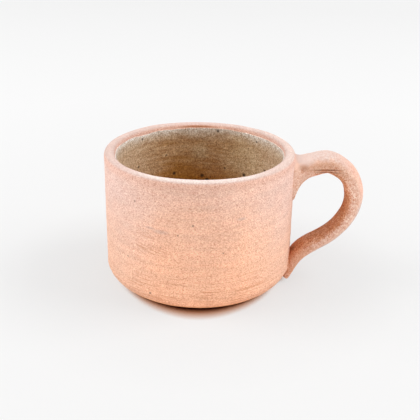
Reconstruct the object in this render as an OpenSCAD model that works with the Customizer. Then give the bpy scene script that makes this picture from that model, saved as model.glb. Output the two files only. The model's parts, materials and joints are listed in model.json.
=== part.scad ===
// A thrown stoneware cup with a pulled side handle. The clay is left bare outside, and
// a thin liner glaze covers the inside up to just below the lip.
// The cup stands on the plane Z = 0 with its middle on the Z axis. The handle is on the +X side.

/* [Cup] */
// Height from the table to the top of the lip
cup_h = 68.4; // [58:0.1:84]
// Width across the outside of the mouth
mouth_d = 95; // [84:0.5:112]
// Width across the belly, where the wall meets the bevel
belly_d = 94.7; // [84:0.1:104]
// Width across the foot, where the cup meets the table
foot_d = 76.2; // [64:0.1:82]
// Height of the rounded bevel between the foot and the belly
bevel_h = 9.4; // [6:0.1:14]
// Roundness of the bevel: 1 is a straight chamfer, 2 a quarter ellipse
bevel_power = 1.6; // [1.2:0.1:2.4]
// Thickness of the wall
wall_t = 5.3; // [4:0.1:7]
// Thickness of the floor
floor_t = 6; // [4:0.1:9]
// Radius of the corner between the wall and the floor, inside
corner_r = 11; // [6:0.5:16]
// Height of the rounded lip
lip_h = 2.8; // [1.5:0.1:4]

/* [Foot] */
// Width of the flat ring that the cup stands on
foot_ring_w = 7; // [4:0.5:12]
// Depth of the trimmed hollow inside that ring
foot_hollow_h = 1.2; // [0.6:0.1:2]

/* [Liner glaze] */
// Thickness of the glaze
glaze_t = 0.5; // [0.3:0.05:1]
// Bare clay between the top of the lip and the glaze line
glaze_drop = 3.4; // [3:0.1:8]
// Height over which the glaze thins out at its line
glaze_fade_h = 2; // [1:0.1:4]
// Thickness of the glaze at its line
glaze_edge_t = 0.15; // [0.1:0.01:0.25]

/* [Handle] */
// Reach of the handle's middle line from the wall
handle_reach = 30.7; // [24:0.1:40]
// Width of the handle's strap, across the finger
handle_w = 15.8; // [12:0.1:20]
// Thickness of the handle's strap at the top
handle_t = 9.6; // [7:0.1:12]
// Height of the lip above the middle of the handle's root
root_drop = 8.9; // [8.5:0.1:12]
// Height of the tail's end above the table
tail_z = 2.6; // [2.2:0.1:6]
// Sideways drift of the tail from under the root
tail_drift = 6; // [0:0.5:8]

/* [Joints] */
// Thickness of the slip between the wall and the handle
slip_t = 0.6; // [0.3:0.05:1]
// Slip squeezed out all round the join
slip_bead_w = 0.8; // [0.4:0.1:1.5]
// Height of the coil smoothed into the angle under the root
coil_h = 10; // [6:0.5:14]
// Reach of that coil along the underside of the handle
coil_reach = 8; // [5:0.5:11]
// Thickness at which the coil's smoothed edge ends
coil_edge_t = 0.5; // [0.3:0.1:0.8]

/* [Hidden] */

mouth_r = mouth_d / 2;
belly_r = belly_d / 2;
foot_r = foot_d / 2;
slip_r = mouth_r + slip_t;
floor_z = foot_hollow_h + floor_t;
lip_z = cup_h - lip_h;
// Length by which a cutting solid runs past what it cuts
overrun = 2;
round_steps = 96;

clay_colour = "#e6b79d";
handle_colour = "#e3ae91";
glaze_colour = "#9c7f5e";
slip_colour = "#c98f72";

// A curve that is a circle when its power is 2 and squarer when it is more
function squared(v, power) = sign(v) * pow(abs(v), 2 / power);

// Radius of the outside of the cup at height z
function bevel_r(z) = foot_r + (belly_r - foot_r) * pow(1 - pow(1 - z / bevel_h, bevel_power), 1 / bevel_power);
function straight_r(z) = belly_r + (mouth_r - belly_r) * (z - bevel_h) / (lip_z - bevel_h);
function outer_r(z) = z < bevel_h ? bevel_r(max(z, 0)) : straight_r(z);
function inner_r(z) = straight_r(z) - wall_t;

// The outside of the cup from the foot to the start of the lip
bevel_steps = 9;
outside = concat(
    [for (i = [0:bevel_steps])
        let (turn = 90 * i / bevel_steps)
        [foot_r + (belly_r - foot_r) * squared(sin(turn), bevel_power),
         bevel_h * (1 - squared(cos(turn), bevel_power))]],
    [[mouth_r, lip_z]]);

// The same line moved out to the outside of the slip
slip_outside = [for (p = outside) [p[0] + slip_t, p[1]]];

// The lip is half an oval across the wall
lip_power = 2.3;
lip_steps = 12;
lip = [for (i = [1:lip_steps])
    let (turn = 180 * i / lip_steps)
    [mouth_r - wall_t / 2 + wall_t / 2 * squared(cos(turn), lip_power),
     lip_z + lip_h * squared(sin(turn), lip_power)]];

// The corner inside, from the wall to the floor, drawn in by the thickness of what lies on it
corner_steps = 10;
function corner(cover_t) =
    let (middle_z = floor_z + corner_r, middle_r = inner_r(middle_z) - corner_r)
    [for (i = [0:corner_steps])
        let (turn = 90 * i / corner_steps)
        [middle_r + (corner_r - cover_t) * cos(turn), middle_z - (corner_r - cover_t) * sin(turn)]];

module thrown_cup() {
    hollow = [[0, foot_hollow_h], [foot_r - foot_ring_w - foot_hollow_h, foot_hollow_h], [foot_r - foot_ring_w, 0]];
    color(clay_colour)
        rotate_extrude($fn = round_steps)
            polygon(concat(hollow, outside, lip, corner(0), [[0, floor_z]]));
}

module liner_glaze() {
    line_z = cup_h - glaze_drop;
    full_z = line_z - glaze_fade_h;
    seat = concat([[0, floor_z]], [for (i = [corner_steps:-1:0]) corner(0)[i]], [[inner_r(line_z), line_z]]);
    face = concat(
        [[inner_r(line_z) - glaze_edge_t, line_z], [inner_r(full_z) - glaze_t, full_z]],
        corner(glaze_t), [[0, floor_z + glaze_t]]);
    color(glaze_colour)
        rotate_extrude($fn = round_steps)
            polygon(concat(seat, face));
}

// The handle's middle line, from inside the wall at the root to the tail's end: shares of the
// reach out from the wall, of the height from the tail to the root, of the width and of the thickness
root_z = cup_h - root_drop;
strap_shares = [
    [-0.12, 0.99, 1.20, 1.20],
    [0.13, 1.00, 1.10, 1.10],
    [0.30, 1.025, 1.03, 1.03],
    [0.58, 1.05, 1.00, 1.02],
    [0.88, 0.95, 0.98, 0.99],
    [1.00, 0.79, 0.97, 0.94],
    [0.94, 0.60, 0.95, 0.80],
    [0.66, 0.41, 0.93, 0.71],
    [0.14, 0.225, 0.90, 0.76],
    [0.05, 0.00, 0.80, 0.42]];
strap = [for (share = strap_shares)
    let (z = tail_z + share[1] * (root_z - tail_z))
    [outer_r(z) + share[0] * handle_reach, z, share[2] * handle_w, share[3] * handle_t]];
strap_end = len(strap) - 1;

// A smooth line through the strap's points; at is the number of the point, with a fraction between points
function knot(i) = i < 0 ? 2 * strap[0] - strap[1] : i > strap_end ? 2 * strap[strap_end] - strap[strap_end - 1] : strap[i];
function between(a, b, c, d, f) =
    (2 * b + (c - a) * f + (2 * a - 5 * b + 4 * c - d) * pow(f, 2) + (3 * b - a - 3 * c + d) * pow(f, 3)) / 2;
function strap_at(at) =
    let (i = min(floor(at), strap_end - 1))
    between(knot(i - 1), knot(i), knot(i + 1), knot(i + 2), at - i);
function outward(at) =
    let (nudge = 0.01, run = strap_at(min(at + nudge, strap_end)) - strap_at(max(at - nudge, 0)))
    [-run[1], run[0]] / norm([run[0], run[1]]);

// Sideways place of the strap's middle line at height z
function drift_at(z) = tail_drift * (z - root_z) / (root_z - tail_z);

// A point on the strap's surface: turn 90 is its outer side, 270 the side that faces the cup.
// Grow moves the point sideways and away from the middle line.
strap_power = 2.7;
function strap_point(at, turn, grow = [0, 0]) =
    let (here = strap_at(at), out = outward(at))
    let (lift = here[3] / 2 * squared(sin(turn), strap_power) + grow[1])
    [here[0] + out[0] * lift,
     drift_at(here[1]) + here[2] / 2 * squared(cos(turn), strap_power) + grow[0],
     here[1] + out[1] * lift];

// A closed skin over rings that have the same even number of points. Each end is closed by a
// strip between the ring's two halves, so a ring need not be flat.
module skin(rings) {
    n = len(rings[0]);
    last = len(rings) - 1;
    sides = [for (r = [0:last - 1], i = [0:n - 1])
        let (a = r * n + i, b = r * n + (i + 1) % n)
        each [[a, b, b + n], [a, b + n, a + n]]];
    first_end = [for (i = [0:n / 2 - 2])
        each [[n - 1 - i, n - 2 - i, i + 1], [n - 1 - i, i + 1, i]]];
    last_end = [for (face = first_end) [for (i = [2, 1, 0]) last * n + face[i]]];
    polyhedron(points = [for (ring = rings) each ring], faces = concat(first_end, sides, last_end));
}

// All that lies inside the outside of the slip, which the handle and the coil are fitted to
module cup_and_slip() {
    rotate_extrude($fn = round_steps)
        polygon(concat(
            [[0, -overrun], [foot_r + slip_t, -overrun]], slip_outside,
            [[slip_r, cup_h + overrun], [0, cup_h + overrun]]));
}

strap_steps_per_knot = 5;
strap_sides = 24;
strap_stations = [for (i = [0:strap_end * strap_steps_per_knot]) i / strap_steps_per_knot];

module handle() {
    color(handle_colour)
        difference() {
            skin([for (at = strap_stations) [for (i = [0:strap_sides - 1]) strap_point(at, 360 * i / strap_sides)]]);
            cup_and_slip();
        }
}

// The coil hugs the sides and the underside of the root. It is thickest at the slip and fades
// out along the handle, less at the sides than below.
coil_fade_power = 2.8;
coil_side_share = 0.08;
// Sides of the strap that the coil covers, to the left and right of the middle of its underside
coil_half_sides = 7;
coil_turns = [for (i = [-coil_half_sides:coil_half_sides]) 270 + 360 * i / strap_sides];
function coil_grow(at, turn) =
    let (left_share = max(0, min(1, 1 - (strap_at(at)[0] - slip_r) / coil_reach)))
    let (depth = coil_h * pow(left_share, coil_fade_power))
    [(depth * coil_side_share + coil_edge_t) * cos(turn), (depth + coil_edge_t) * min(0, sin(turn))];
function coil_ring(at) = concat(
    [for (turn = coil_turns) strap_point(at, turn, coil_grow(at, turn))],
    [for (i = [len(coil_turns) - 1:-1:0]) strap_point(at, coil_turns[i])]);
function laid_on_slip(p) = [sqrt(pow(outer_r(p[2]) + slip_t, 2) - pow(p[1], 2)), p[1], p[2]];

module upper_root_coil() {
    root_half = [for (at = strap_stations) if (at < strap_end / 2) at];
    near = [for (at = root_half) if (strap_at(at)[0] < slip_r + coil_reach) at];
    clear = [for (at = near) if (strap_at(at)[0] > slip_r + coil_edge_t) at];
    at_slip = near[len(near) - len(clear) - 1];
    color(handle_colour)
        skin(concat([[for (p = coil_ring(at_slip)) laid_on_slip(p)]], [for (at = clear) coil_ring(at)]));
}

// Slip lies on the wall in an oval patch, as wide as what it holds and a bead more all round,
// and leans as the strap does
patch_power = 2.7;
patch_sides = 48;
module slip_patch(low_z, high_z, width) {
    half_w = width / 2 + slip_bead_w;
    half_h = (high_z - low_z) / 2 + slip_bead_w;
    outline = [for (i = [0:patch_sides - 1])
        let (turn = 360 * i / patch_sides)
        let (z = (high_z + low_z) / 2 + half_h * squared(sin(turn), patch_power))
        [drift_at(z) + half_w * squared(cos(turn), patch_power), z]];
    color(slip_colour)
        intersection() {
            rotate_extrude($fn = round_steps)
                polygon(concat(outside, [for (i = [len(slip_outside) - 1:-1:0]) slip_outside[i]]));
            rotate([90, 0, 90])
                linear_extrude(mouth_d)
                    polygon(outline);
        }
}

module upper_slip_joint() {
    root = strap[1];
    coil_side = coil_h * coil_side_share + coil_edge_t;
    slip_patch(root_z - root[3] / 2 - coil_h, root_z + root[3] / 2, root[2] + 2 * coil_side);
}

module lower_slip_joint() {
    join = strap[strap_end - 1];
    slip_patch(tail_z, join[1], join[2]);
}

thrown_cup();
liner_glaze();
handle();
upper_root_coil();
upper_slip_joint();
lower_slip_joint();
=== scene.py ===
# %% [markdown]
# # A thrown cup with a pulled handle
# This lesson builds the looks of one small stoneware cup. A potter throws such a cup on the
# wheel, trims its foot, pulls a handle from wet clay, joins it with slip and a coil, and pours
# a thin glaze inside. We follow the same order here, and each piece stays a piece of its own.
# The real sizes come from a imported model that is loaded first. It is the frame: our pieces
# take its places, and it is never moved or changed.

import json
import math

import bmesh
import bpy
from mathutils import Matrix, Vector

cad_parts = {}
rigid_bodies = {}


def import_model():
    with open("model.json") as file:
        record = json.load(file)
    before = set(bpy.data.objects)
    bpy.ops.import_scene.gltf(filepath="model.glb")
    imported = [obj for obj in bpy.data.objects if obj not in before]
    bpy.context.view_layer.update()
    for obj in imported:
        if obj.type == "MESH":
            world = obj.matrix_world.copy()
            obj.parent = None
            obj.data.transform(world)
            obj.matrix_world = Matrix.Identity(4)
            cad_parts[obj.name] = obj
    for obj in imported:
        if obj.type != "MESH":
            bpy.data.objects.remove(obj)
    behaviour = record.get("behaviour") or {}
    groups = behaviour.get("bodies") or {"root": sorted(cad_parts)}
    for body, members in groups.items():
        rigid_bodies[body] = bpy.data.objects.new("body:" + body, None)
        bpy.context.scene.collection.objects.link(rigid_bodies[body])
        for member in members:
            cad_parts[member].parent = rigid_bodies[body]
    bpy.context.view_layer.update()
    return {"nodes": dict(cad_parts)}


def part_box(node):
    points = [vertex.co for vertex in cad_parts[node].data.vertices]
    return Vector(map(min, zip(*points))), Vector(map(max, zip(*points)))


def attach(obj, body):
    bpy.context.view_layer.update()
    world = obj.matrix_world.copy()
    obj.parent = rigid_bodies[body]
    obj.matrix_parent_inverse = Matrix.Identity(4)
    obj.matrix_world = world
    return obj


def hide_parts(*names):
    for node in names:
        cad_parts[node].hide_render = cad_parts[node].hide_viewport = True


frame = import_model()
print("the frame holds", sorted(frame["nodes"]))

# %% [markdown]
# ## Sizes
# Blender works in metres, so a millimetre gets a name of its own. The cup's height, the width
# of its mouth, its floor, the line of its glaze and the reach of its coil are read from the
# frame's boxes. The sizes that a box can't tell, such as the thickness of the wall, are the
# potter's own. The glaze was poured, so its line wavers, and at its highest it runs a little
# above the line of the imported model.

# %% Name the sizes
MM = 0.001

cup_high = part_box("thrown_cup")[1]
glaze_low, glaze_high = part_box("liner_glaze")
coil_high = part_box("upper_root_coil")[1]

cup_height = cup_high.z
mouth_radius = cup_high.x
belly_radius = mouth_radius - 0.15 * MM
wall_thick = 5.3 * MM
inner_radius = mouth_radius - wall_thick
floor_height = glaze_low.z
bevel_size = 9.3 * MM
foot_radius = belly_radius - bevel_size
foot_ring_width = 7 * MM
foot_hollow_depth = 1.2 * MM
inner_corner_radius = 11 * MM
glaze_line = glaze_high.z + 0.9 * MM

print(f"the cup is {cup_height / MM:.1f} mm high and {2 * mouth_radius / MM:.1f} mm wide")

# %% [markdown]
# ## Camera
# The photograph looks down on the cup from the front, with a long lens. The camera is placed
# by what a photographer would measure: the point it looks at, its distance, its tilt and its
# roll. The lens is long: the picture is 420 pixels wide, and it would take 800 pixels to show
# a thing that is as wide as it is far off.

# %% Place the camera
aim = Vector((5.5 * MM, 0, 35.1 * MM))
camera_distance = 411.7 * MM
camera_tilt = math.radians(23.12)
camera_roll = math.radians(0.96)
picture_pixels = 420
focal_pixels = 800

camera_data = bpy.data.cameras.new("photo_camera")
camera_data.sensor_width = 36
camera_data.lens = camera_data.sensor_width * focal_pixels / picture_pixels
camera_data.clip_start = 10 * MM
camera = bpy.data.objects.new("photo_camera", camera_data)
bpy.context.scene.collection.objects.link(camera)
camera.location = aim + camera_distance * Vector((0, -math.cos(camera_tilt), math.sin(camera_tilt)))
look = Matrix.Rotation(math.pi / 2 - camera_tilt, 3, "X") @ Matrix.Rotation(camera_roll, 3, "Z")
camera.rotation_euler = look.to_euler()
bpy.context.scene.camera = camera
bpy.context.scene.view_settings.view_transform = "Standard"
print(f"the lens is {camera_data.lens:.1f} mm long")

# %% [markdown]
# ## Helpers for the bench
# Most of Blender's modelling tools act on all that is selected, as a hand acts on all that it
# holds. So we let go of everything first, and then pick faces or edges by their place.
# `pick` does that in edit mode, and `settle` bakes the modifiers and the place of a finished
# piece into its mesh.

# %% Define the helpers
def let_go():
    if bpy.context.object and bpy.context.object.mode != "OBJECT":
        bpy.ops.object.mode_set(mode="OBJECT")
    bpy.ops.object.select_all(action="DESELECT")


def take(piece):
    """Makes a piece the only one in hand."""
    let_go()
    piece.select_set(True)
    bpy.context.view_layer.objects.active = piece


def shape(piece):
    """Takes a piece into edit mode with nothing selected."""
    take(piece)
    bpy.ops.object.mode_set(mode="EDIT")
    bpy.ops.mesh.select_all(action="DESELECT")


def pick(piece, kind, wanted):
    """Selects the vertices, edges or faces for which wanted is true, and counts them."""
    bpy.ops.mesh.select_mode(type=kind)
    bpy.ops.mesh.select_all(action="DESELECT")
    net = bmesh.from_edit_mesh(piece.data)
    parts = {"VERT": net.verts, "EDGE": net.edges, "FACE": net.faces}[kind]
    parts.ensure_lookup_table()
    chosen = [part for part in parts if wanted(part)]
    for part in chosen:
        part.select_set(True)
    net.select_flush_mode()
    bmesh.update_edit_mesh(piece.data)
    return len(chosen)


def radius_of(point):
    return math.hypot(point.x, point.y)


def middle_of(edge):
    return (edge.verts[0].co + edge.verts[1].co) / 2


def apply_modifiers(piece):
    take(piece)
    for name in [modifier.name for modifier in piece.modifiers]:
        bpy.ops.object.modifier_apply(modifier=name)


def settle(piece, smooth_angle=40):
    """Applies the modifiers and the place of a piece, and smooths its shading."""
    apply_modifiers(piece)
    bpy.ops.object.transform_apply(location=True, rotation=True, scale=True)
    bpy.ops.object.shade_smooth_by_angle(angle=math.radians(smooth_angle))
    let_go()


def weigh(piece, group_name, weight_of):
    """Gives a piece a vertex group, with a weight from 0 to 1 for each place on it."""
    group = piece.vertex_groups.new(name=group_name)
    for vertex in piece.data.vertices:
        weight = min(1, max(0, weight_of(vertex.co)))
        if weight > 0:
            group.add([vertex.index], weight, "REPLACE")
    return group


def ramp(value, start, end):
    """0 before start, 1 after end, and smooth in between."""
    share = min(1, max(0, (value - start) / (end - start)))
    return share * share * (3 - 2 * share)


# %% [markdown]
# ## Uneven clay
# No thrown wall is a perfect turning. A Displace modifier moves each vertex along its normal
# by the value of a cloud texture. Where the texture reads its place from an empty that is
# wide and very flat, the clouds are drawn out into lines that run round the cup, as the
# lines that fingers and trimming tools leave.

# %% Define the unevenness
def uneven(piece, name, grain, depth, group="", flat_share=1.0, direction="NORMAL"):
    """Adds clouds of the given grain and depth. A small flat_share draws them out into level lines."""
    clouds = bpy.data.textures.new(name, type="CLOUDS")
    clouds.noise_scale = 1
    clouds.noise_depth = 2
    ruler = bpy.data.objects.new(f"{name}_ruler", None)
    bpy.context.scene.collection.objects.link(ruler)
    ruler.scale = (grain, grain, grain * flat_share)
    bpy.context.view_layer.update()
    displace = piece.modifiers.new(name, "DISPLACE")
    displace.texture = clouds
    displace.texture_coords = "OBJECT"
    displace.texture_coords_object = ruler
    displace.mid_level = 0.5
    displace.strength = depth
    displace.direction = direction
    displace.vertex_group = group
    apply_modifiers(piece)
    bpy.data.objects.remove(ruler)
    bpy.data.textures.remove(clouds)


# %% [markdown]
# ## The cup: a block that is opened
# On the wheel the cup starts as a centred lump that the thumbs open and the fingers raise.
# We could draw half the outline and spin it. We start from a cylinder instead, because each
# next step is then one that the potter knows too: open it with an inset and an extrusion.

# %% Centre and open the block
cup_sides = 320
level_normal = 0.9

let_go()
bpy.ops.mesh.primitive_cylinder_add(
    vertices=cup_sides, radius=belly_radius, depth=cup_height, location=(0, 0, cup_height / 2)
)
cup = bpy.context.object
cup.name = "cup_body"
bpy.ops.object.transform_apply(location=True, rotation=True, scale=True)

shape(cup)
pick(cup, "FACE", lambda face: face.normal.z > level_normal)
flare = mouth_radius / belly_radius
bpy.ops.transform.resize(value=(flare, flare, 1), center_override=(0, 0, cup_height))
bpy.ops.mesh.inset(thickness=wall_thick)
bpy.ops.mesh.extrude_region_move(
    TRANSFORM_OT_translate={"value": (0, 0, floor_height - cup_height)}
)
print("the block is opened down to", round(floor_height / MM, 1), "mm above the table")

# %% [markdown]
# The sharp corners become the forms that tools give them. A bevel whose profile is flatter
# than a circle makes the trimmed turn above the foot, a round one the corner inside, where
# a sponge runs, and a fuller one the lip that a strip of leather has compressed.

# %% Trim the foot, round the corner inside and the lip
near = 0.2 * MM
lip_round = 0.49 * wall_thick

pick(cup, "EDGE", lambda edge: middle_of(edge).z < near and len(edge.link_faces) == 2)
bpy.ops.mesh.bevel(offset=bevel_size, segments=14, profile=0.42)

pick(cup, "EDGE", lambda edge: max(abs(vertex.co.z - floor_height) for vertex in edge.verts) < near
     and radius_of(middle_of(edge)) < inner_radius + near)
bpy.ops.mesh.bevel(offset=inner_corner_radius, segments=10, profile=0.5)

pick(cup, "EDGE", lambda edge: min(vertex.co.z for vertex in edge.verts) > cup_height - near
     and abs(radius_of(edge.verts[0].co) - radius_of(edge.verts[1].co)) < near)
bpy.ops.mesh.bevel(offset=lip_round, segments=9, profile=0.547)
print("the cup has", len(bmesh.from_edit_mesh(cup.data).faces), "faces")

# %% [markdown]
# Underneath, the foot is a flat ring round a shallow hollow, so that the cup stands steady.
# Both edges of that ring are broken a little, as a damp finger does.

# %% Hollow the foot
foot_edge_round = 0.5 * MM
hollow_taper = 0.96

pick(cup, "FACE", lambda face: face.normal.z < -level_normal and face.calc_center_median().z < near
     and len(face.verts) > 4)
bpy.ops.mesh.inset(thickness=foot_ring_width)
bpy.ops.mesh.extrude_region_move(TRANSFORM_OT_translate={"value": (0, 0, foot_hollow_depth)})
bpy.ops.transform.resize(value=(hollow_taper, hollow_taper, 1), center_override=(0, 0, foot_hollow_depth))
pick(cup, "EDGE", lambda edge: max(vertex.co.z for vertex in edge.verts) < near
     and abs(radius_of(edge.verts[0].co) - radius_of(edge.verts[1].co)) < near)
bpy.ops.mesh.bevel(offset=foot_edge_round, segments=3, profile=0.5)
let_go()
print("the cup stands on a ring", foot_ring_width / MM, "mm wide")

# %% [markdown]
# ## The liner glaze, first as a copy of the inside
# The glaze is poured in and out again, so it lies on the wall and the floor as a thin skin.
# The easiest way to make a skin that fits is to copy the faces that it lies on. We take the
# copy now, while the inside is still a simple form, and finish it after the cup.

# %% Copy the inside for the glaze
shape(cup)
pick(cup, "FACE", lambda face: radius_of(face.calc_center_median()) < inner_radius + near
     and face.calc_center_median().z > floor_height - near)
bpy.ops.mesh.bisect(plane_co=(0, 0, glaze_line), plane_no=(0, 0, 1))
inside = pick(cup, "FACE", lambda face: radius_of(face.calc_center_median()) < inner_radius + near
              and floor_height - near < face.calc_center_median().z < glaze_line)
bpy.ops.mesh.duplicate()
bpy.ops.mesh.separate(type="SELECTED")
let_go()
liner = next(o for o in bpy.context.scene.objects if o.name.startswith("cup_body."))
liner.name = "liner_glaze_coat"
print("the glaze lies on", inside, "faces")

# %% [markdown]
# ## The marks of the wheel
# The wall needs many level rings of small faces before lines can be pressed into it. A
# subdivision of its upright edges gives them. Then four layers of unevenness follow: a slow
# sway of the whole wall, soft throwing rings, sharper trimming lines on the lower third, and
# a lip that rises and falls a little. The foot stays flat, so that the cup stands.

# %% Ring the wall
upright_height = 20 * MM
wall_rings = 84
ring_low = 0.3 * MM
ring_high = 0.8 * MM


def rise_of(edge):
    return abs(edge.verts[0].co.z - edge.verts[1].co.z)


shape(cup)
outer_uprights = pick(cup, "EDGE", lambda edge: rise_of(edge) > upright_height
                      and radius_of(middle_of(edge)) > inner_radius + near)
bpy.ops.mesh.subdivide(number_cuts=wall_rings)
pick(cup, "EDGE", lambda edge: ring_low < rise_of(edge) < ring_high
     and radius_of(middle_of(edge)) > belly_radius - near and bevel_size < middle_of(edge).z)
bpy.ops.mesh.subdivide(number_cuts=1)
let_go()
print("the wall has", outer_uprights, "uprights")

# %% Press the lines in
flat_foot = 0.3 * MM
foot_fade = 3 * MM
bevel_fade = 2 * MM
sway_fade = 6 * MM
lip_band = 12 * MM


def off_foot(place):
    """0 on the foot and 1 on the bevel and the wall above it."""
    outward = ramp(radius_of(place), foot_radius, foot_radius + bevel_fade)
    return ramp(place.z, flat_foot, foot_fade) * outward


def weigh_sway(piece):
    """The two groups that the wall and its glaze share, so that they sway as one."""
    weigh(piece, "whole", lambda place: ramp(place.z, flat_foot, sway_fade))
    weigh(piece, "lip", lambda place: ramp(place.z, cup_height - lip_band, cup_height))


def sway(piece):
    uneven(piece, "sway", grain=34 * MM, depth=0.55 * MM, group="whole")


def sway_lip(piece):
    uneven(piece, "lip_sway", grain=30 * MM, depth=0.5 * MM, group="lip", direction="Z")


weigh_sway(cup)
weigh(cup, "outside", lambda place: off_foot(place) * ramp(cup_height - place.z, 0, 3 * MM))
weigh(cup, "trimmed", lambda place: off_foot(place) * (1 - ramp(place.z, 15 * MM, 30 * MM)))
sway(cup)
uneven(cup, "throwing_rings", grain=46 * MM, depth=0.22 * MM, group="outside", flat_share=0.09)
uneven(cup, "trimming_lines", grain=30 * MM, depth=0.26 * MM, group="trimmed", flat_share=0.035)
sway_lip(cup)
print("the wall has", len(cup.data.polygons), "faces")

# %% [markdown]
# ## The glaze, thickened
# The copy gets its own rings of small faces, the soft rings that the fingers left inside, and
# an uneven line at the top where the glaze stopped running. Solidify then gives it its
# thickness. Its back is sunk a little into the clay, because glaze and clay melt into each other.

# %% Finish the liner glaze
glaze_thick = 0.6 * MM
glaze_bite = 0.12 * MM
glaze_rings = 95
floor_rings = 6
floor_ring_width = 4.4 * MM
line_band = 5 * MM

shape(liner)
pick(liner, "EDGE", lambda edge: rise_of(edge) > upright_height)
bpy.ops.mesh.subdivide(number_cuts=glaze_rings)
pick(liner, "FACE", lambda face: len(face.verts) > 4)
for ring in range(floor_rings):
    bpy.ops.mesh.inset(thickness=floor_ring_width)
bpy.ops.mesh.poke()
let_go()

weigh_sway(liner)
weigh(liner, "line", lambda place: ramp(place.z, glaze_line - line_band, glaze_line))
sway(liner)
sway_lip(liner)
uneven(liner, "glaze_line", grain=9 * MM, depth=1.5 * MM, group="line", direction="Z")
uneven(liner, "finger_rings", grain=40 * MM, depth=0.3 * MM, flat_share=0.14)

coat = liner.modifiers.new("coat", "SOLIDIFY")
coat.thickness = glaze_thick
coat.offset = 1 - 2 * glaze_bite / glaze_thick
settle(liner)
print("the glaze coat has", len(liner.data.polygons), "faces")

# %% [markdown]
# ## The handle's run
# A pulled handle is a strap of clay that leaves the wall level, bends over, and comes back
# down to the foot, thinner all the way. Ten chosen places along it give its middle line, its
# width and its thickness, and a smooth curve passes through them. The places are shares of
# the handle's reach and height, and the widths and thicknesses are shares of the strap's own.

# %% Define the run of the handle
handle_width = 15.8 * MM
handle_thick = 9.6 * MM
handle_reach = 30.7 * MM
root_height = cup_height - 8.9 * MM
tail_height = 2.6 * MM
tail_drift = 6 * MM
bevel_power = 1.6

strap_shares = [
    (-0.12, 0.99, 1.20, 1.20),
    (0.13, 1.00, 1.10, 1.10),
    (0.30, 1.025, 1.03, 1.03),
    (0.58, 1.05, 1.00, 1.02),
    (0.88, 0.95, 0.98, 0.99),
    (1.00, 0.79, 0.97, 0.94),
    (0.94, 0.60, 0.95, 0.80),
    (0.66, 0.41, 0.93, 0.71),
    (0.14, 0.225, 0.90, 0.76),
    (0.05, 0.00, 0.80, 0.42),
]


def wall_radius(height):
    """Radius of the cup's outside at a height."""
    if height > bevel_size:
        return belly_radius
    turn = 1 - (1 - max(0, height) / bevel_size) ** bevel_power
    return foot_radius + bevel_size * turn ** (1 / bevel_power)


def strap_knot(number):
    """Distance out, height, width and thickness at one of the chosen places."""
    last = len(strap_shares) - 1
    if number < 0:
        return 2 * strap_knot(0) - strap_knot(1)
    if number > last:
        return 2 * strap_knot(last) - strap_knot(last - 1)
    out, up, width, thick = strap_shares[number]
    height = tail_height + up * (root_height - tail_height)
    distance = wall_radius(height) + out * handle_reach
    return Vector((distance, height, width * handle_width, thick * handle_thick))


def strap_at(at):
    """The same four values anywhere along the strap, on a smooth curve through the places."""
    start = min(int(at), len(strap_shares) - 2)
    a, b, c, d = (strap_knot(start + step) for step in (-1, 0, 1, 2))
    share = at - start
    bend = (2 * a - 5 * b + 4 * c - d) * share**2 + (3 * b - a - 3 * c + d) * share**3
    return (2 * b + (c - a) * share + bend) / 2


def drift_at(height):
    return tail_drift * (height - root_height) / (root_height - tail_height)


print(f"the strap starts {handle_thick * strap_shares[1][3] / MM:.1f} mm thick at the wall")

# %% [markdown]
# ## The handle, pulled step by step
# The strap's section is a square whose corners are rounded, and which is then squeezed flat,
# so that its corners turn slowly over the top and quickly at the sides. It is drawn out along
# the run in short extrusions, and each one is turned to the run's new heading and narrowed a
# little, as the potter's wet hand does. Near the wall it flares, where it is smoothed on.
# A curve with a bevel object would be quicker, but it could not flare or thin so freely.

# %% Pull the handle
steps_per_place = 7
root_places = 3
root_flare = 1.5 * MM
flare_reach = 3.2 * MM
flare_thick_share = 1.5
corner_share = 0.38
tail_round = 0.5 * MM


def heading_at(at):
    """The strap's heading, from the places just before and just after."""
    nudge = 0.02
    last = len(strap_shares) - 1
    run = strap_at(min(at + nudge, last)) - strap_at(max(at - nudge, 0))
    return math.atan2(run[1], run[0])


def station(number):
    """Centre, heading, width and thickness of one short step of the pull."""
    at = number / steps_per_place
    out, height, width, thick = strap_at(at)
    left = min(1, max(0, 1 - (out - belly_radius) / flare_reach)) if at < root_places else 0
    flare = root_flare * left**2
    centre = Vector((out, drift_at(height), height))
    return centre, heading_at(at), width + 2 * flare, thick + flare_thick_share * flare


centre, heading, width, thick = station(0)
let_go()
bpy.ops.mesh.primitive_plane_add(size=1, location=centre, rotation=(0, math.pi / 2, 0))
handle = bpy.context.object
handle.name = "pulled_handle"
shape(handle)
bpy.ops.mesh.select_all(action="SELECT")
bpy.ops.mesh.bevel(offset=corner_share, segments=5, affect="VERTICES")
take(handle)
handle.scale = (thick, width, 1)
bpy.ops.object.transform_apply(location=True, rotation=True, scale=True)

shape(handle)
pick(handle, "FACE", lambda face: True)
bpy.ops.transform.rotate(value=heading, orient_axis="Y", center_override=centre)
for number in range(1, (len(strap_shares) - 1) * steps_per_place + 1):
    new_centre, new_heading, new_width, new_thick = station(number)
    bpy.ops.mesh.extrude_region_move(TRANSFORM_OT_translate={"value": new_centre - centre})
    bpy.ops.transform.rotate(
        value=new_heading - heading, orient_axis="Y", center_override=new_centre
    )
    thinner = new_thick / thick
    bpy.ops.transform.resize(
        value=(thinner, new_width / width, thinner), center_override=new_centre
    )
    centre, heading, width, thick = new_centre, new_heading, new_width, new_thick
bpy.ops.mesh.bevel(offset=tail_round, segments=2, profile=0.5)
bpy.ops.mesh.select_all(action="SELECT")
bpy.ops.mesh.normals_make_consistent(inside=False)
let_go()
lowest = min(vertex.co.z for vertex in handle.data.vertices)
farthest = max(vertex.co.x for vertex in handle.data.vertices)
print(f"the handle ends {lowest / MM:.1f} mm above the table and reaches x = {farthest / MM:.1f} mm")

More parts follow.
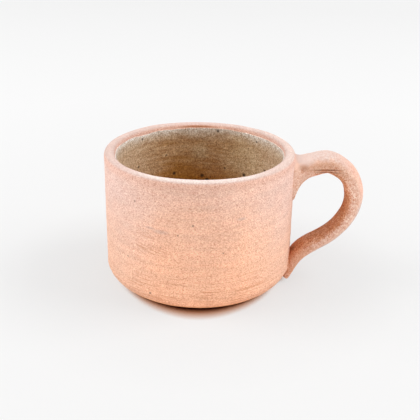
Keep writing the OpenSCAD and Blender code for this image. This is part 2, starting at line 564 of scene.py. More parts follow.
# %% [markdown]
# A subdivision surface rounds the steps off. Then a thumb dents the strap where it was
# pressed to the wall: a move with proportional editing carries the clay round it along. Each
# dent is a place, a push and a width, in millimetres.

# %% Smooth the strap and press the dents
dents = [
    ((51.5, -8.8, 58.5), (0, 0.55, 0), 3.4),
    ((52.5, 8.8, 58), (0, -0.45, 0), 4),
    ((46, -6, 7), (-0.5, 0, 0), 5),
]

rounder = handle.modifiers.new("rounder", "SUBSURF")
rounder.levels = rounder.render_levels = 2
apply_modifiers(handle)


def press(piece, place, push, width):
    """Pushes the spot nearest to place, and the clay round it, by push."""
    shape(piece)
    spot = min(piece.data.vertices, key=lambda vertex: (vertex.co - place).length).index
    pick(piece, "VERT", lambda vertex: vertex.index == spot)
    bpy.ops.transform.translate(
        value=push, use_proportional_edit=True, proportional_size=width,
        proportional_edit_falloff="SMOOTH",
    )
    let_go()


for place, push, width in dents:
    press(handle, Vector(place) * MM, Vector(push) * MM, width * MM)
uneven(handle, "strap_sway", grain=18 * MM, depth=0.24 * MM)
uneven(handle, "finger_marks", grain=4 * MM, depth=0.2 * MM)
settle(handle, smooth_angle=60)
print("the handle has", len(handle.data.polygons), "faces")

# %% [markdown]
# ## The coil under the root
# A coil of soft clay is rubbed into the angle under the root, so that the handle doesn't
# tear off there. On the bench it takes the form of the strap that it is rubbed onto. So we
# copy the strap's skin near the wall, cut it off straight, close it, and sink it a hair. Then a
# Displace modifier pulls its lower half down, with weights that fade away from the wall, so
# that the coil and the strap run into each other.

# %% Copy the strap's root for the coil
coil_end = coil_high.x
coil_reach = coil_end - mouth_radius
coil_spare = 3 * MM
coil_sink = 0.1 * MM

shape(handle)
pick(handle, "FACE", lambda face: face.calc_center_median().x < coil_end + coil_spare
     and face.calc_center_median().z > root_height - 2 * handle_thick)
bpy.ops.mesh.duplicate()
bpy.ops.mesh.separate(type="SELECTED")
let_go()
coil = next(o for o in bpy.context.scene.objects if o.name.startswith("pulled_handle."))
coil.name = "root_coil"

shape(coil)
bpy.ops.mesh.select_all(action="SELECT")
bpy.ops.mesh.bisect(plane_co=(coil_end, 0, 0), plane_no=(1, 0, 0), clear_outer=True)
bpy.ops.mesh.select_mode(type="EDGE")
bpy.ops.mesh.select_non_manifold()
bpy.ops.mesh.edge_face_add()
bpy.ops.mesh.poke()
bpy.ops.mesh.select_all(action="SELECT")
bpy.ops.mesh.normals_make_consistent(inside=False)
bpy.ops.transform.shrink_fatten(value=-coil_sink)
let_go()
print("the coil starts as", len(coil.data.polygons), "faces of the strap")

# %% Rub the coil in
coil_depth = 9.2 * MM
coil_fade_power = 2.8
web_fade = 4.2 * MM
steps_to_root = 20
first_step = 40
last_step = 59


def strap_height(distance):
    """Height of the strap's middle line near the root, at a distance from the cup's middle."""
    places = [strap_at(step / steps_to_root) for step in range(root_places * steps_to_root)]
    return min(places, key=lambda place: abs(place[0] - distance))[1]


root_heights = {step: strap_height(step * MM) for step in range(first_step, last_step + 1)}


def web_weight(place):
    """How much of the coil's depth lies below this place on the strap."""
    left = min(1, max(0, 1 - (place.x - mouth_radius) / coil_reach))
    height = root_heights[min(last_step, max(first_step, round(place.x / MM)))]
    return left**coil_fade_power * ramp(height - place.z, 0, web_fade)


weigh(coil, "web", web_weight)
web = coil.modifiers.new("web", "DISPLACE")
web.direction = "Z"
web.mid_level = 0
web.strength = -coil_depth
web.vertex_group = "web"
settle(coil, smooth_angle=60)
lowest = min(vertex.co.z for vertex in coil.data.vertices)
print(f"the coil reaches down to {lowest / MM:.1f} mm")

# %% [markdown]
# ## The slip in the joints
# Slip is clay stirred with water, the potter's glue. What shows of it is a thin smear round
# each end of the handle. A disc with a few inset rings is shrunk onto the wall, and Solidify
# makes it thick in the middle and nothing at its edge. There its two skins meet, and a Weld
# modifier joins them, so that the patch is closed. The lower patch leans with the strap.

# %% Smear the slip
slip_thick = 0.55 * MM
slip_sink = 0.05 * MM
slip_edge_share = 0.22
slip_sides = 72
slip_rings = [0.5 * MM] * 5 + [1.5 * MM] * 3
weld_gap = 0.001 * MM


def smear(name, low, high, width, lean=0.0):
    """A patch of slip on the wall between two heights, leaning sideways by lean."""
    let_go()
    middle = (low + high) / 2
    bpy.ops.mesh.primitive_circle_add(
        vertices=slip_sides, radius=1, fill_type="NGON",
        location=(mouth_radius + handle_width, drift_at(middle) * lean, middle),
        rotation=(0, math.pi / 2, 0),
    )
    patch = bpy.context.object
    patch.name = name
    patch.scale = ((high - low) / 2, width / 2, 1)
    bpy.ops.object.transform_apply(location=True, rotation=True, scale=True)
    shape(patch)
    pick(patch, "FACE", lambda face: True)
    for ring_width in slip_rings:
        bpy.ops.mesh.inset(thickness=ring_width)
    bpy.ops.mesh.poke()
    let_go()
    for vertex in patch.data.vertices:
        vertex.co.y += lean * (drift_at(vertex.co.z) - drift_at(middle))

    def from_edge(place):
        across = (place.y - lean * drift_at(place.z)) / (width / 2)
        along = (place.z - middle) / ((high - low) / 2)
        return ramp(1 - math.hypot(across, along), 0, slip_edge_share)

    weigh(patch, "thick", from_edge)
    wrap = patch.modifiers.new("wrap", "SHRINKWRAP")
    wrap.target = cup
    wrap.wrap_method = "PROJECT"
    wrap.use_project_x = True
    wrap.use_negative_direction = True
    wrap.use_positive_direction = False
    wrap.offset = -slip_sink
    body = patch.modifiers.new("body", "SOLIDIFY")
    body.thickness = slip_thick
    body.offset = 1
    body.vertex_group = "thick"
    weld = patch.modifiers.new("weld", "WELD")
    weld.merge_threshold = weld_gap
    settle(patch, smooth_angle=60)
    return patch


slip_root = smear("slip_under_root", low=43.8 * MM, high=66.4 * MM, width=24 * MM)
slip_tail = smear("slip_under_tail", low=1.8 * MM, high=16.6 * MM, width=16.2 * MM, lean=1.0)
print("the slip patches have", len(slip_root.data.polygons), "and", len(slip_tail.data.polygons), "faces")

# %% [markdown]
# ## Finishes
# Every finish is a set of nodes that read Object coordinates, which are places in metres on
# the cup. So a speck of half a millimetre is half a millimetre on every piece, and a pattern
# runs on from one piece to the next. Small functions keep the nodes readable.

# %% Define how a finish is started and how nodes are added
def colour(code):
    """The linear colour of a code such as e6b79d, as a screen shows it."""
    parts = [int(code[place:place + 2], 16) / 255 for place in (0, 2, 4)]
    return (*[part / 12.92 if part < 0.04045 else ((part + 0.055) / 1.055) ** 2.4 for part in parts], 1)


def start_finish(name):
    finish = bpy.data.materials.new(name)
    finish.use_nodes = True
    tree = finish.node_tree
    return finish, tree, tree.nodes["Principled BSDF"]


def feed(tree, socket, value):
    """Links a socket to another node's output, or sets it."""
    if isinstance(value, bpy.types.NodeSocket):
        tree.links.new(value, socket)
    else:
        socket.default_value = value


def put(tree, kind, inputs=None, **settings):
    """Adds a node with its settings and inputs."""
    made = tree.nodes.new(kind)
    for name, value in settings.items():
        setattr(made, name, value)
    for name, value in (inputs or {}).items():
        feed(tree, made.inputs[name], value)
    return made


def place_of(tree, kind="Object"):
    return put(tree, "ShaderNodeTexCoord").outputs[kind]


def along(tree, axis):
    """The place along one axis, such as the height for axis 2."""
    return put(tree, "ShaderNodeSeparateXYZ", {"Vector": place_of(tree)}).outputs[axis]


def work(tree, operation, first, second):
    """One sum on two values."""
    return put(tree, "ShaderNodeMath", {0: first, 1: second}, operation=operation).outputs[0]


def between(tree, value, start, end, low=0.0, high=1.0):
    """Maps value from start to end onto low to high, and keeps it there outside."""
    inputs = {"Value": value, "From Min": start, "From Max": end, "To Min": low, "To Max": high}
    return put(tree, "ShaderNodeMapRange", inputs).outputs[0]


def aside(tree, start, end, low=0.0, high=1.0, middle=0.0):
    """Maps the distance to the left or right of a middle, as between does."""
    offset = work(tree, "SUBTRACT", along(tree, 0), middle)
    return between(tree, work(tree, "ABSOLUTE", offset, 0), start, end, low, high)


def blend(tree, share, under, over, kind="MIX"):
    """Lays the colour over on the colour under by share."""
    return put(
        tree, "ShaderNodeMix", {0: share, 6: under, 7: over}, data_type="RGBA", blend_type=kind
    ).outputs[2]


def tint(tree, body, pattern, shade, strength):
    """Colours the body where a pattern is, by its strength."""
    return blend(tree, work(tree, "MULTIPLY", pattern, strength), body, shade)


print("a screen's middle grey is", round(colour("808080")[0], 2), "of white")

# %% [markdown]
# Four patterns are enough for clay and glaze. Clouds give mottle and grain, and clouds that
# are drawn out flat give lines. Specks are the middles of Voronoi cells, of which only some
# are kept. A spot lies at one chosen place, as the few marks do that make this cup this cup.

# %% Define the patterns
def cloud(tree, size, stretch=(1, 1, 1), detail=2, shift=0, turn=0):
    """Noise whose blobs are about size across, times stretch along each axis."""
    inputs = {
        "Vector": place_of(tree), "Location": (shift * size, shift * size, shift * size),
        "Rotation": (0, math.radians(turn), 0), "Scale": [size * share for share in stretch],
    }
    mapped = put(tree, "ShaderNodeMapping", inputs, vector_type="TEXTURE").outputs[0]
    return put(tree, "ShaderNodeTexNoise", {"Vector": mapped, "Scale": 1.0, "Detail": detail}).outputs[0]


def vary(tree, pattern, low, high):
    """Maps the range that a cloud mostly keeps to onto low to high."""
    return between(tree, pattern, 0.3, 0.7, low, high)


def specks(tree, spacing, size, share):
    """1 on small spots that lie about spacing apart, and only on some of the places."""
    inputs = {"Vector": place_of(tree), "Scale": 1 / spacing, "Randomness": 1.0}
    cells = put(tree, "ShaderNodeTexVoronoi", inputs)
    chosen = put(tree, "ShaderNodeSeparateColor", {"Color": cells.outputs["Color"]}).outputs[0]
    kept = between(tree, chosen, share, share * 0.98)
    reach = size / spacing / 2
    return work(tree, "MULTIPLY", kept, between(tree, cells.outputs["Distance"], reach, reach * 0.6))


def spot(tree, place, reach, squash=(1, 1, 1), edge=0.4):
    """1 round a place in millimetres and 0 beyond reach, with a soft edge."""
    inputs = {
        "Vector": place_of(tree), "Location": Vector(place) * MM,
        "Scale": [reach * MM * share for share in squash],
    }
    near = put(tree, "ShaderNodeMapping", inputs, vector_type="TEXTURE").outputs[0]
    far = put(tree, "ShaderNodeVectorMath", {0: near}, operation="LENGTH").outputs["Value"]
    return between(tree, far, 1, edge)


def spots(tree, places, squash=(1, 1, 1)):
    """Several spots as one pattern. Each place is x, y, z and reach in millimetres."""
    total = spot(tree, places[0][:3], places[0][3], squash)
    for place in places[1:]:
        total = work(tree, "MAXIMUM", total, spot(tree, place[:3], place[3], squash))
    return total


def grain(tree, size, stretch, shift=0):
    """Fine uneven grain, of which the most lies at size and some at twice that."""
    fine = cloud(tree, size, stretch, 2, shift)
    coarse = cloud(tree, 2 * size, stretch, 2, shift + 11)
    return work(tree, "ADD", work(tree, "MULTIPLY", fine, 0.75), work(tree, "MULTIPLY", coarse, 0.25))


def grainy(tree, body, sand, dark, light):
    """Darkens and lightens a colour by the grain. Where it darkens, it also turns warmer."""
    return blend(tree, 1.0, body, blend(tree, between(tree, sand, 0.36, 0.64), dark, light), "MULTIPLY")


def press_in(tree, skin, relief, depth):
    """Lets a pattern stand out from the surface by a bump."""
    bump = put(tree, "ShaderNodeBump", {"Height": relief, "Distance": depth, "Strength": 1.0})
    tree.links.new(bump.outputs[0], skin.inputs["Normal"])


def dry(skin):
    skin.inputs["Roughness"].default_value = 0.9
    skin.inputs["Specular IOR Level"].default_value = 0.2


print("the patterns are clouds, specks, spots and grain")

# %% [markdown]
# ## Bare stoneware, thrown and trimmed
# The outside is clay that was never glazed. Pale grains of grog sit in a pinker ground, the
# heat flashed the lower half orange, and a trimming tool dragged thin lines round the foot. The
# lip was pressed smooth, so it is paler. Painted light and shade lie on the wall too: a painted
# highlight along the lip's front edge, a band of painted shade just under the lip, a painted warm
# glow at the very foot where light bounces up from the table, and a painted sheen that makes the
# sides paler and greyer. A few iron grains have burnt to dark dots. All of it is dry, so it hardly
# shines. A run, below, is where a change starts and where it is complete, and a mark is x, y, z
# and reach in millimetres.

# %% Name the colours, runs and marks of the wall
high_clay = (0.91, 0.572, 0.446, 1)
flashed_clay = (1.0, 0.56, 0.375, 1)
bevel_clay = (1.0, 0.545, 0.35, 1)
foot_glow_clay = (1.0, 0.46, 0.22, 1)
front_clay = (1.0, 0.555, 0.37, 1)
sheen_tint_at_sides = (0.88, 0.96, 1.055, 1)
neck_shade_clay = colour("e6b4a0")
lip_clay = (0.72, 0.535, 0.475, 1)
lip_clay_by_handle = (0.75, 0.57, 0.505, 1)
lip_highlight_clay = (0.84, 0.7, 0.64, 1)
line_clay = colour("d08458")
smudged_clay = colour("b49a9a")
glaze_edge_line_clay = colour("b8703c")
iron_clay = colour("6b4a40")

flash_run = (56 * MM, 25 * MM)
bevel_run = (18 * MM, 6 * MM)
foot_glow_run = (4.5 * MM, 1.5 * MM)
sheen_run_at_sides = (20 * MM, 40 * MM)
neck_shade_run = (cup_height - 5.5 * MM, cup_height - 3 * MM)
lip_run = (cup_height - 1.5 * MM, cup_height - 0.5 * MM)
lip_highlight_run = (cup_height - 0.9 * MM, cup_height - 0.2 * MM)
line_run = (26 * MM, 12 * MM)
line_end_run = (1.6 * MM, 3 * MM)

iron_on_wall = [(-2.1, -47.4, 47.3, 0.75), (-22.6, -41.7, 9.1, 0.9), (-33.6, -33.4, 24.6, 0.6),
                (-29.2, -37.3, 54.9, 0.7), (-9, -46.6, 42, 0.5), (12, -46, 33, 0.5)]
glaze_edge_line = [(-2, 42.8, glaze_line / MM + 0.8, 13)]
smudges_on_wall = [(-17.3, -44.1, 42.5, 3.6), (-22, -42, 43.5, 2.4), (20.2, -42.9, 49.2, 2.6)]
print("the flash starts", round(flash_run[0] / MM), "mm above the table")


# %% Fire the wall from neck to foot
def fired_wall_and_painted_light(tree):
    """The clay's colour by height and by side, with a painted warm glow at the foot and a painted sheen
    that makes the sides paler.
    """
    height = along(tree, 2)
    wavy = work(tree, "ADD", height, vary(tree, cloud(tree, size=24 * MM), -5 * MM, 5 * MM))
    body = blend(tree, between(tree, wavy, *flash_run), high_clay, flashed_clay)
    body = blend(tree, between(tree, height, *bevel_run), body, bevel_clay)
    # A painted warm glow at the very foot, for the light that bounces up from the table under the cup.
    body = blend(tree, between(tree, height, *foot_glow_run), body, foot_glow_clay)
    body = tint(tree, body, spot(tree, (0, -47, 38), reach=26), front_clay, strength=0.45)
    bands = cloud(tree, size=34 * MM, stretch=(1, 1, 0.09), detail=3, shift=6)
    body = blend(tree, 1.0, body, between(tree, bands, 0.35, 0.65, 0.96, 1.04), "MULTIPLY")
    # A painted sheen: the sides are made paler and greyer, as light that grazes them does.
    return blend(tree, aside(tree, *sheen_run_at_sides, middle=2 * MM), body, sheen_tint_at_sides, "MULTIPLY")


def pressed_lip_with_painted_light(tree, body):
    """Lays the paler lip on, with a painted highlight along its near edge, a band of painted shade under it
    and the darker orange line behind it.
    """
    height = along(tree, 2)
    # A band of painted shade just under the lip's overhanging edge.
    body = tint(tree, body, between(tree, height, *neck_shade_run), neck_shade_clay, strength=0.5)
    by_handle = between(tree, along(tree, 0), 10 * MM, 40 * MM)
    lip = between(tree, height, *lip_run)
    body = blend(tree, lip, body, blend(tree, by_handle, lip_clay, lip_clay_by_handle))
    # A darker orange line just above the glaze line, at the back of the inside.
    glaze_edge = spots(tree, glaze_edge_line, squash=(1, 0.5, 0.06))
    body = tint(tree, body, glaze_edge, glaze_edge_line_clay, strength=0.75)
    # A painted highlight along the lip's front edge, near the middle of the front.
    ahead = between(tree, along(tree, 1), 0, -30 * MM)
    ahead = work(tree, "MULTIPLY", ahead, aside(tree, 33 * MM, 22 * MM))
    edge = work(tree, "MULTIPLY", between(tree, height, *lip_highlight_run), ahead)
    return blend(tree, edge, body, lip_highlight_clay), lip


def trimming_lines(tree):
    """Thin lines low on the wall, and slanted scratches at one place on its left."""
    height = along(tree, 2)
    low_part = between(tree, height, *line_run, 0.1, 1)
    low_part = work(tree, "MULTIPLY", low_part, between(tree, height, *line_end_run))
    lines = between(tree, cloud(tree, size=15 * MM, stretch=(1, 1, 0.03), detail=3), 0.53, 0.64)
    lines = work(tree, "MULTIPLY", lines, low_part)
    lines = work(tree, "MULTIPLY", lines, aside(tree, 40 * MM, 22 * MM, 0.4, 1))
    slanted = between(tree, cloud(tree, size=12 * MM, stretch=(1, 1, 0.035), turn=12), 0.56, 0.66)
    scratched = spot(tree, (-24, -41, 33), reach=15, squash=(1, 1, 0.7), edge=0.5)
    return work(tree, "MAXIMUM", lines, work(tree, "MULTIPLY", slanted, scratched))


# %% Mix the thrown clay
def thrown_clay(name):
    finish, tree, skin = start_finish(name)
    body, lip = pressed_lip_with_painted_light(tree, fired_wall_and_painted_light(tree))
    sand = grain(tree, size=0.46 * MM, stretch=(1.3, 1.3, 0.9))
    rough = work(tree, "MULTIPLY", work(tree, "SUBTRACT", sand, 0.5), between(tree, lip, 0, 1, 1, 0.45))
    sand = work(tree, "ADD", rough, 0.52)
    body = grainy(tree, body, sand, dark=(0.75, 0.59, 0.55, 1), light=(1.14, 1.27, 1.3, 1))
    mottle = cloud(tree, size=5 * MM, stretch=(1.4, 1.4, 0.8), detail=3)
    body = blend(tree, 1.0, body, vary(tree, mottle, 0.965, 1.035), "MULTIPLY")
    lines = trimming_lines(tree)
    body = tint(tree, body, lines, line_clay, strength=0.65)
    body = tint(tree, body, spots(tree, smudges_on_wall, squash=(1.5, 1, 0.4)), smudged_clay, strength=0.3)
    iron = specks(tree, spacing=9 * MM, size=0.8 * MM, share=0.1)
    iron = work(tree, "MAXIMUM", spots(tree, iron_on_wall), iron)
    body = tint(tree, body, iron, iron_clay, strength=0.6)
    tree.links.new(body, skin.inputs["Base Color"])
    dry(skin)
    relief = work(tree, "SUBTRACT", sand, work(tree, "MULTIPLY", lines, 0.3))
    press_in(tree, skin, relief, depth=0.3 * MM)
    return finish


wall_clay = thrown_clay("thrown_stoneware")
print("mixed", wall_clay.name)

# %% [markdown]
# ## Bare stoneware, pulled
# The same clay looks rougher on the handle, because wet pulling washes the fine part out and
# leaves the grog standing. Its colour also carries painted light and shade. The faces that look
# into the finger gap, and the tail where it meets the wall, get painted shade in a deeper orange,
# and those that look away from the gap get painted light and stay pale. A face's normal tells which
# they are, by how squarely it points to the gap's middle.

# %% Name the colours and marks of the strap
lit_strap_outer = (0.78, 0.6, 0.53, 1)
strap_front = (1.0, 0.66, 0.51, 1)
shaded_strap_inner = (0.82, 0.42, 0.24, 1)
shaded_root_front = (0.87, 0.575, 0.445, 1)
shaded_tail_front = (0.88, 0.56, 0.43, 1)
bend_outer = (0.92, 0.565, 0.44, 1)
tail_shade_clay = (0.77, 0.31, 0.135, 1)
bend_shade_clay = (0.66, 0.28, 0.13, 1)
washed_clay = colour("cf9670")
dented_clay = colour("a05c28")
pulled_line_clay = colour("7e4628")
crease_shade_clay = colour("5c2a14")
rusty_clay = colour("c87a4a")

gap_middle = (58 * MM, 0, 42 * MM)
# Places of painted shade on the tail, where it meets the wall.
tail_shade_places = [(50, -6, 18, 10), (47, -6, 10, 8.5), (45, -6, 5, 9)]
pull_lines = [(63, -8.3, 60.7, 9), (64, -8, 59.3, 8)]
print("the strap has", len(tail_shade_places), "burnt places and", len(pull_lines), "pull lines")


# %% Fire the strap
def facing_gap(tree):
    """1 where the strap looks straight into the finger gap, and -1 where it looks away."""
    to_gap = put(tree, "ShaderNodeVectorMath", {0: gap_middle, 1: place_of(tree)}, operation="SUBTRACT")
    level = put(tree, "ShaderNodeVectorMath", {0: to_gap.outputs[0], 1: (1, 0, 1)}, operation="MULTIPLY")
    heading = put(tree, "ShaderNodeVectorMath", {0: level.outputs[0]}, operation="NORMALIZE")
    facing = put(tree, "ShaderNodeVectorMath", {0: heading.outputs[0], 1: place_of(tree, "Normal")},
                 operation="DOT_PRODUCT").outputs["Value"]
    return work(tree, "ADD", facing, vary(tree, cloud(tree, size=5 * MM, detail=3), -0.18, 0.18))


def corner(tree, across_run, height_run):
    """1 where a run along the reach and a run along the height are both complete."""
    across = between(tree, along(tree, 0), *across_run)
    return work(tree, "MULTIPLY", across, between(tree, along(tree, 2), *height_run))


def lit_and_shaded_strap(tree, facing, root, lit_outer, front, shaded_inner):
    """Painted light and shade on the clay by the way that a face looks: lit outer faces, shaded inner
    faces, painted shade near the root and on the tail, and the bend.
    """
    # Painted shade on the front near the root, where the cup shades it, and on the front of the tail.
    front = blend(tree, root, front, shaded_root_front)
    shaded_inner = blend(tree, root, shaded_inner, front)
    front = blend(tree, between(tree, along(tree, 2), 34 * MM, 22 * MM), front, shaded_tail_front)
    bend = corner(tree, (66 * MM, 77 * MM), (42 * MM, 50 * MM))
    lit_outer = blend(tree, bend, lit_outer, bend_outer)
    # Painted light on the outer faces that look away from the gap, and painted shade on the inner faces
    # that look into it.
    body = blend(tree, between(tree, facing, -0.85, -0.35), lit_outer, front)
    body = blend(tree, between(tree, facing, 0.38, 0.88), body, shaded_inner)
    # Painted shade on the tail, where it meets the wall.
    for place in tail_shade_places:
        body = tint(tree, body, spots(tree, [place]), tail_shade_clay, strength=0.8)
    return body


def strap_marks(tree, body, facing):
    """Lays on the marks that the fingers left at chosen places, and painted shade inside the bend and in
    the crease at the tail.
    """
    washed = spot(tree, (61.5, -9, 62), reach=12, squash=(1, 0.6, 0.42), edge=0.45)
    washed = work(tree, "MAXIMUM", washed, spot(tree, (69.5, -8, 57), reach=6))
    body = tint(tree, body, washed, washed_clay, strength=0.55)
    dent = spot(tree, (51.4, -8.5, 62), reach=3, squash=(1.1, 1, 0.8), edge=0.2)
    body = tint(tree, body, dent, dented_clay, strength=0.5)
    lines = spots(tree, pull_lines, squash=(1, 0.6, 0.07))
    body = tint(tree, body, lines, pulled_line_clay, strength=0.75)
    # Painted shade on the inner faces of the bend.
    bend_shade = spot(tree, (71, -3, 42), reach=8, squash=(0.8, 1, 1.2))
    body = tint(tree, body, bend_shade, bend_shade_clay, strength=between(tree, facing, 0.4, 0.9))
    # Painted shade in the crease where the tail meets the wall.
    crease = spot(tree, (48, -6, 18.5), reach=3.6, squash=(0.5, 1, 1), edge=0.2)
    return tint(tree, body, crease, crease_shade_clay, strength=0.7)


# %% Mix the pulled clay and the slip
def pulled_clay(name, lit_outer, front, shaded_inner):
    finish, tree, skin = start_finish(name)
    facing = facing_gap(tree)
    root = corner(tree, (62 * MM, 48 * MM), (36 * MM, 44 * MM))
    body = lit_and_shaded_strap(tree, facing, root, lit_outer, front, shaded_inner)
    body = strap_marks(tree, body, facing)

    rough = between(tree, facing, -0.5, 0.9, 0.38, 1.45)
    rough = work(tree, "SUBTRACT", rough, work(tree, "MULTIPLY", root, 0.4))
    sand = grain(tree, size=0.58 * MM, stretch=(1, 1, 1))
    sand = work(tree, "ADD", work(tree, "MULTIPLY", work(tree, "SUBTRACT", sand, 0.5), rough), 0.522)
    body = grainy(tree, body, sand, dark=(0.67, 0.41, 0.32, 1), light=(1.1, 1.28, 1.36, 1))
    rust = between(tree, cloud(tree, size=1.5 * MM, detail=3, shift=5), 0.48, 0.64, 0, 0.5)
    body = tint(tree, body, rust, rusty_clay, strength=rough)
    body = tint(tree, body, specks(tree, spacing=6 * MM, size=0.8 * MM, share=0.2), iron_clay, strength=0.5)
    tree.links.new(body, skin.inputs["Base Color"])
    dry(skin)
    relief = work(tree, "SUBTRACT", sand, work(tree, "MULTIPLY", rust, 0.4))
    press_in(tree, skin, relief, depth=0.4 * MM)
    return finish


strap_clay = pulled_clay("pulled_stoneware", lit_strap_outer, strap_front, shaded_strap_inner)
# The slip gets the same painted light and shade by the way that its faces look.
slip_clay = pulled_clay(
    "slip_stoneware", lit_outer=(0.83, 0.62, 0.54, 1), front=(0.9, 0.57, 0.44, 1), shaded_inner=(0.74, 0.33, 0.17, 1)
)
print("mixed", strap_clay.name, "and", slip_clay.name)

# %% [markdown]
# ## The liner glaze
# A thin satin glaze over the same clay looks brown where it lies full, darker where it pooled
# lower down, and pale and grey where it thins out at its line. Iron grains of the clay bleed
# through it as dark specks, and the fingers' level bands show.

# %% Name the colours and marks of the glaze
brown_glaze = colour("b08557")
pale_glaze = colour("c6a27a")
pooled_glaze = colour("a86c1c")
lit_side_glaze = colour("d3ba9e")
thin_glaze = colour("d2bd97")
full_glaze = colour("a66e04")
grey_glaze = colour("d9c8b2")
milky_glaze = colour("e9ded2")
line_glaze = colour("efe5d9")
iron_bleed = colour("24180f")

pool_run = (47 * MM, 33 * MM)
grey_run = (glaze_line - 7 * MM, glaze_line - 1 * MM)
milky_run = (glaze_line - 4 * MM, glaze_line - 0.6 * MM)
line_glaze_run = (glaze_line - 2.4 * MM, glaze_line - 0.7 * MM)

thin_places = [(24, 34, 50, 17), (-1, 42, 52, 6)]
full_places = [(-10, 41, 39.5, 15)]
iron_in_glaze = [(-14.9, 39.3, 40.4, 1.4), (0.7, 42.0, 38.4, 1.5), (3.5, 41.9, 36.1, 1.6),
                 (-31.4, 27.9, 63.6, 1.0), (-19.2, 37.4, 51.6, 1.0), (9.2, 41.0, 64.7, 1.1),
                 (30.0, 29.4, 62.6, 0.9), (34.6, 23.8, 48.2, 1.1), (23.9, 34.5, 41.7, 1.4),
                 (13.4, 39.8, 43.7, 0.9), (-33.5, 25.3, 48.7, 1.0)]
print("the glaze has", len(iron_in_glaze), "iron specks at chosen places")


# %% Mix the liner glaze
def poured_glaze(tree):
    """The glaze's colour by height and by side, with painted light on its left and right walls, from its
    pool to its line.
    """
    height = along(tree, 2)
    bands = cloud(tree, size=15 * MM, stretch=(1, 1, 0.12), detail=4)
    body = blend(tree, between(tree, bands, 0.38, 0.62), brown_glaze, pale_glaze)
    body = blend(tree, between(tree, height, *pool_run), body, pooled_glaze)
    # Painted light on the inside's left and right walls, which are paler than its back.
    body = blend(tree, aside(tree, 20 * MM, 42 * MM, 0, 0.8), body, lit_side_glaze)
    body = tint(tree, body, spots(tree, thin_places), thin_glaze, strength=0.4)
    body = tint(tree, body, spots(tree, full_places), full_glaze, strength=0.45)
    wavy = work(tree, "ADD", height, vary(tree, cloud(tree, size=11 * MM), -1 * MM, 1 * MM))
    body = blend(tree, between(tree, wavy, *grey_run, 0, 0.75), body, grey_glaze)
    body = blend(tree, between(tree, wavy, *milky_run, 0, 0.4), body, milky_glaze)
    at_line = between(tree, height, *line_glaze_run)
    return tint(tree, body, at_line, line_glaze, strength=aside(tree, 20 * MM, 36 * MM, 0.35, 1))


def satin_glaze(name):
    finish, tree, skin = start_finish(name)
    body = poured_glaze(tree)
    mottle = cloud(tree, size=2.6 * MM, stretch=(1.5, 1.5, 0.7), detail=4, shift=3)
    body = grainy(tree, body, mottle, dark=(0.9, 0.86, 0.82, 1), light=(1.08, 1.12, 1.16, 1))
    sand = grain(tree, size=0.6 * MM, stretch=(1.1, 1.1, 1), shift=7)
    body = grainy(tree, body, sand, dark=(0.6, 0.5, 0.42, 1), light=(1.34, 1.48, 1.6, 1))
    iron = specks(tree, spacing=5 * MM, size=0.9 * MM, share=0.16)
    iron = work(tree, "MAXIMUM", spots(tree, iron_in_glaze), iron)
    body = tint(tree, body, iron, iron_bleed, strength=0.9)
    tree.links.new(body, skin.inputs["Base Color"])
    skin.inputs["Roughness"].default_value = 0.45
    skin.inputs["Specular IOR Level"].default_value = 0.4
    press_in(tree, skin, work(tree, "ADD", sand, cloud(tree, size=2.4 * MM)), depth=0.12 * MM)
    return finish


coat_finish = satin_glaze("satin_liner_glaze")
print("mixed", coat_finish.name)

# %% Lay the finishes on
for piece, finish in (
    (cup, wall_clay), (liner, coat_finish), (handle, strap_clay), (coil, strap_clay),
    (slip_root, slip_clay), (slip_tail, slip_clay),
):
    piece.data.materials.clear()
    piece.data.materials.append(finish)
    print(piece.name, "is finished with", finish.name)

# %% [markdown]
# ## Table and light
# The cup was photographed on a white table, between two big soft lights that look down on it
# from the left and the right. The front, where the camera stands, is the darkest side. The
# table glows a little for the rays that the camera sends, so it looks white while the light on
# the cup stays plain, and a part of its look still comes from the light, which keeps the cup's
# soft shadow. Close under the cup, where hardly any light gets in, the clay's own warm shade
# lies on the table. An ambient occlusion node finds where that is. It finds more at the cup's
# two sides than the photograph shows, so the shade is weakened there. Far off the glow rises
# to full white, so that the table's end doesn't show in a low view.

# %% Define what the table's finish needs
def looked_at(tree):
    """1 for the rays that the camera sends, straight or by way of a gloss or glass."""
    rays = put(tree, "ShaderNodeLightPath").outputs
    mirrored = work(tree, "MAXIMUM", rays["Is Glossy Ray"], rays["Is Transmission Ray"])
    return work(tree, "MAXIMUM", rays["Is Camera Ray"], mirrored)


def shades_along(tree, value, stops):
    """A colour that changes along value. Each stop is a value and a colour."""
    made = put(tree, "ShaderNodeValToRGB", {"Fac": value})
    while len(made.color_ramp.elements) < len(stops):
        made.color_ramp.elements.new(0.5)
    for element, (position, shade) in zip(made.color_ramp.elements, stops):
        element.position = position
        element.color = colour(shade)
    return made.outputs["Color"]


# %% Set the table
table_size = 8
contact_reach = 8 * MM
contact_shades = [(0.13, "200600"), (0.22, "4a1602"), (0.31, "a9704f"), (0.45, "d3a68d"),
                  (0.67, "ecd6cb"), (0.93, "ffffff")]
side_opening = 6.5
lit_share = 0.2
near_glow = 0.61
middle_glow_more = 0.06
wide_glow_more = 0.04
far_glow_more = 0.29

let_go()
bpy.ops.mesh.primitive_plane_add(size=table_size, location=(0, 0, 0))
table = bpy.context.object
table.name = "white_table"
table_finish, tree, skin = start_finish("white_table")

hidden = put(tree, "ShaderNodeAmbientOcclusion", {"Distance": contact_reach}, samples=16).outputs["AO"]
distance = put(tree, "ShaderNodeVectorMath", {0: place_of(tree)}, operation="LENGTH").outputs["Value"]
ahead_share = work(tree, "DIVIDE", work(tree, "ABSOLUTE", along(tree, 1), 0), distance)
opened = work(tree, "MULTIPLY", hidden, between(tree, ahead_share, 1, 0, 1, side_opening))
contact = shades_along(tree, opened, contact_shades)

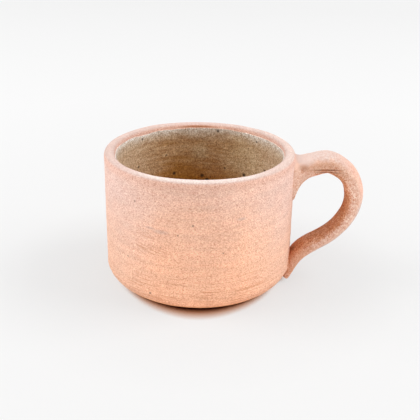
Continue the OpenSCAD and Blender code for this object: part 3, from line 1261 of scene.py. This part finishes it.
glow = between(tree, distance, 45 * MM, 110 * MM, near_glow, near_glow + middle_glow_more)
glow = work(tree, "ADD", glow, between(tree, distance, 110 * MM, 350 * MM, 0, wide_glow_more))
glow = work(tree, "ADD", glow, between(tree, distance, 900 * MM, 3000 * MM, 0, far_glow_more))
seen = looked_at(tree)
seen_table = blend(tree, 1.0, contact, (lit_share, lit_share, lit_share, 1), "MULTIPLY")
tree.links.new(blend(tree, seen, colour("f7f6f5"), seen_table), skin.inputs["Base Color"])
tree.links.new(contact, skin.inputs["Emission Color"])
tree.links.new(work(tree, "MULTIPLY", seen, glow), skin.inputs["Emission Strength"])
skin.inputs["Roughness"].default_value = 0.9
skin.inputs["Specular IOR Level"].default_value = 0.1
table.data.materials.append(table_finish)
print("the table is", table_size, "m wide")


# %% Light the cup
light_size = 0.9
room_fill = 0.3


def soft_light(name, place, power):
    """A square soft box at a place, turned to the cup."""
    data = bpy.data.lights.new(name, "AREA")
    data.shape = "SQUARE"
    data.size = light_size
    data.energy = power
    lamp = bpy.data.objects.new(name, data)
    bpy.context.scene.collection.objects.link(lamp)
    lamp.location = place
    towards = Vector((0, 0, cup_height / 2)) - Vector(place)
    lamp.rotation_euler = towards.to_track_quat("-Z", "Y").to_euler()
    return lamp


soft_light("left_light", place=(-1.0, 0, 1.0), power=14.3)
soft_light("right_light", place=(1.0, 0, 1.0), power=15)
soft_light("front_light", place=(0, -1.3, 0.55), power=2.4)

world = bpy.data.worlds.new("white_room")
world.use_nodes = True
bpy.context.scene.world = world
tree = world.node_tree
room = tree.nodes["Background"]
room.inputs["Color"].default_value = (1, 1, 1, 1)
tree.links.new(between(tree, looked_at(tree), 0, 1, room_fill, 1), room.inputs["Strength"])
print("the room fills in with a strength of", room_fill)

# %% [markdown]
# ## Hand the pieces to the frame
# Each piece rides on the cup's one body and stands for the imported solid that it shows, which
# is hidden.

# %% Hand over
for piece, nodes, slot_name in (
    (cup, ["thrown_cup"], "bare_clay"),
    (liner, ["liner_glaze"], "liner_glaze"),
    (handle, ["handle"], "handle_clay"),
    (coil, ["upper_root_coil"], "handle_clay"),
    (slip_root, ["upper_slip_joint"], "slip"),
    (slip_tail, ["lower_slip_joint"], "slip"),
):
    settle(piece, smooth_angle=60)
    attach(piece, "root")
    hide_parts(*nodes)
    print(piece.name, "stands for", *nodes)
